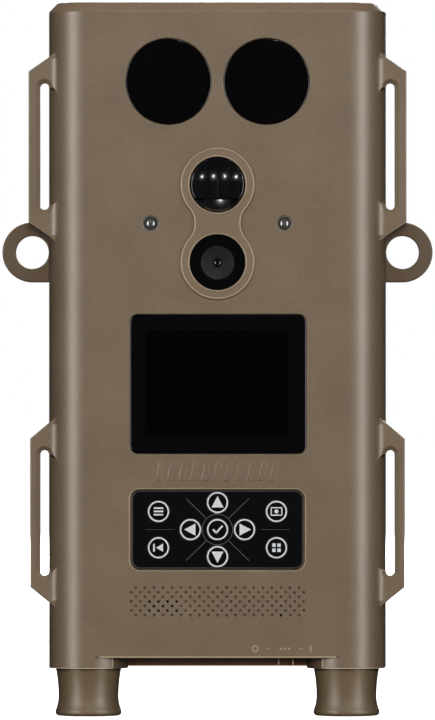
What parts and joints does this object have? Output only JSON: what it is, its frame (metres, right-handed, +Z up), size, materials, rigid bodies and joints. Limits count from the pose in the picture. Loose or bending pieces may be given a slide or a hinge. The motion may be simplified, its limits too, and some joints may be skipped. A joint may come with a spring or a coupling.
{
  "type": "trail camera",
  "caption": "Weatherproof trail camera with side battery columns, screw-cap feet, infra-red windows, motion sensor, lens, display, keypad, strap loops and lock eyes.",
  "frame": {"origin": "middle of the overall box on the plane that the two feet stand on", "axes": "+Z up along the battery columns, -Y out of the front face, +X to the viewer's right"},
  "size_m": [0.1048, 0.0298, 0.1733],
  "materials": {
    "shell": "fine moulded texture",
    "rear_plastic": "fine moulded texture",
    "bezel": "satin",
    "gloss_black": "gloss",
    "rubber": "matte",
    "brass": "machined",
    "board": "solder mask",
    "steel": "satin",
    "clear": "clear",
    "grey_plastic": "satin",
    "cell_wrap": "printed film"
  },
  "bodies": {
    "housing": {"front_shell": "shell", "rear_shell": "rear_plastic", "housing_seal": "rubber", "housing_screw_lower_left": "steel", "housing_screw_lower_right": "steel", "housing_screw_upper_left": "steel", "housing_screw_upper_right": "steel", "tripod_insert": "brass", "ir_window_left": "gloss_black", "ir_window_right": "gloss_black", "led_array_left": "board", "led_array_right": "board", "lens_bezel": "bezel", "pir_lens": "gloss_black", "pir_sensor": "steel", "lens_window": "clear", "lens_barrel": "grey_plastic", "lens_element": "clear", "camera_holder": "grey_plastic", "sensor_board": "board", "status_light": "clear", "light_sensor": "clear", "display_window": "gloss_black", "display_module": "grey_plastic", "keypad_frame": "gloss_black", "key_dome_sheet": "steel", "main_board": "board", "speaker": "grey_plastic", "microphone": "steel", "usb_socket": "steel", "card_socket": "steel", "switch_body": "steel", "battery_tube_left": "grey_plastic", "cell_left_1": "cell_wrap", "cell_left_2": "cell_wrap", "cell_left_3": "cell_wrap", "battery_contact_left": "steel", "battery_tube_right": "grey_plastic", "cell_right_1": "cell_wrap", "cell_right_2": "cell_wrap", "cell_right_3": "cell_wrap", "battery_contact_right": "steel"},
    "mode_switch": {"mode_switch_knob": "grey_plastic"},
    "port_flap": {"port_cover": "rubber"},
    "ir_filter": {"ir_cut_filter": "clear"},
    "key_ok": {"key_ok": "gloss_black"},
    "key_up": {"key_up": "gloss_black"},
    "key_down": {"key_down": "gloss_black"},
    "key_left": {"key_left": "gloss_black"},
    "key_right": {"key_right": "gloss_black"},
    "key_menu": {"key_menu": "gloss_black"},
    "key_replay": {"key_replay": "gloss_black"},
    "key_shot": {"key_shot": "gloss_black"},
    "key_mode": {"key_mode": "gloss_black"},
    "cap_left_ring": {"cap_seal_left": "rubber"},
    "cap_left": {"battery_cap_left": "rear_plastic", "cap_spring_left": "steel"},
    "cap_right_ring": {"cap_seal_right": "rubber"},
    "cap_right": {"battery_cap_right": "rear_plastic", "cap_spring_right": "steel"}
  },
  "joints": [
    {"name": "key_ok_press", "type": "slide", "parent": "housing", "child": "key_ok", "axis": [0, 1, 0], "range_m": [0, 0.00035], "stiffness_N_per_m": 150},
    {"name": "key_up_press", "type": "slide", "parent": "housing", "child": "key_up", "axis": [0, 1, 0], "range_m": [0, 0.00035], "stiffness_N_per_m": 150},
    {"name": "key_down_press", "type": "slide", "parent": "housing", "child": "key_down", "axis": [0, 1, 0], "range_m": [0, 0.00035], "stiffness_N_per_m": 150},
    {"name": "key_left_press", "type": "slide", "parent": "housing", "child": "key_left", "axis": [0, 1, 0], "range_m": [0, 0.00035], "stiffness_N_per_m": 150},
    {"name": "key_right_press", "type": "slide", "parent": "housing", "child": "key_right", "axis": [0, 1, 0], "range_m": [0, 0.00035], "stiffness_N_per_m": 150},
    {"name": "key_menu_press", "type": "slide", "parent": "housing", "child": "key_menu", "axis": [0, 1, 0], "range_m": [0, 0.00035], "stiffness_N_per_m": 150},
    {"name": "key_replay_press", "type": "slide", "parent": "housing", "child": "key_replay", "axis": [0, 1, 0], "range_m": [0, 0.00035], "stiffness_N_per_m": 150},
    {"name": "key_shot_press", "type": "slide", "parent": "housing", "child": "key_shot", "axis": [0, 1, 0], "range_m": [0, 0.00035], "stiffness_N_per_m": 150},
    {"name": "key_mode_press", "type": "slide", "parent": "housing", "child": "key_mode", "axis": [0, 1, 0], "range_m": [0, 0.00035], "stiffness_N_per_m": 150},
    {"name": "mode_switch_slide", "type": "slide", "parent": "housing", "child": "mode_switch", "axis": [1, 0, 0], "range_m": [-0.002, 0.002]},
    {"name": "port_flap_hinge", "type": "hinge", "parent": "housing", "child": "port_flap", "pos_m": [-0.005, -0.0089, 0.01445], "axis": [-1, 0, 0], "range_deg": [0, 100]},
    {"name": "ir_filter_slide", "type": "slide", "parent": "housing", "child": "ir_filter", "axis": [1, 0, 0], "range_m": [0, 0.0038]},
    {"name": "cap_left_turn", "type": "hinge", "parent": "cap_left_ring", "child": "cap_left", "pos_m": [-0.0314, -0.0025, 0], "axis": [0, 0, -1], "range_deg": [0, 540]},
    {"name": "cap_left_drop", "type": "slide", "parent": "housing", "child": "cap_left_ring", "axis": [0, 0, -1], "range_m": [0, 0.0036]},
    {"name": "cap_right_turn", "type": "hinge", "parent": "cap_right_ring", "child": "cap_right", "pos_m": [0.0314, -0.0025, 0], "axis": [0, 0, -1], "range_deg": [0, 540]},
    {"name": "cap_right_drop", "type": "slide", "parent": "housing", "child": "cap_right_ring", "axis": [0, 0, -1], "range_m": [0, 0.0036]}
  ],
  "couplings": [
    {"joint": "cap_left_turn", "follows": "cap_left_drop", "rad_per_m": 2618},
    {"joint": "cap_right_turn", "follows": "cap_right_drop", "rad_per_m": 2618}
  ]
}
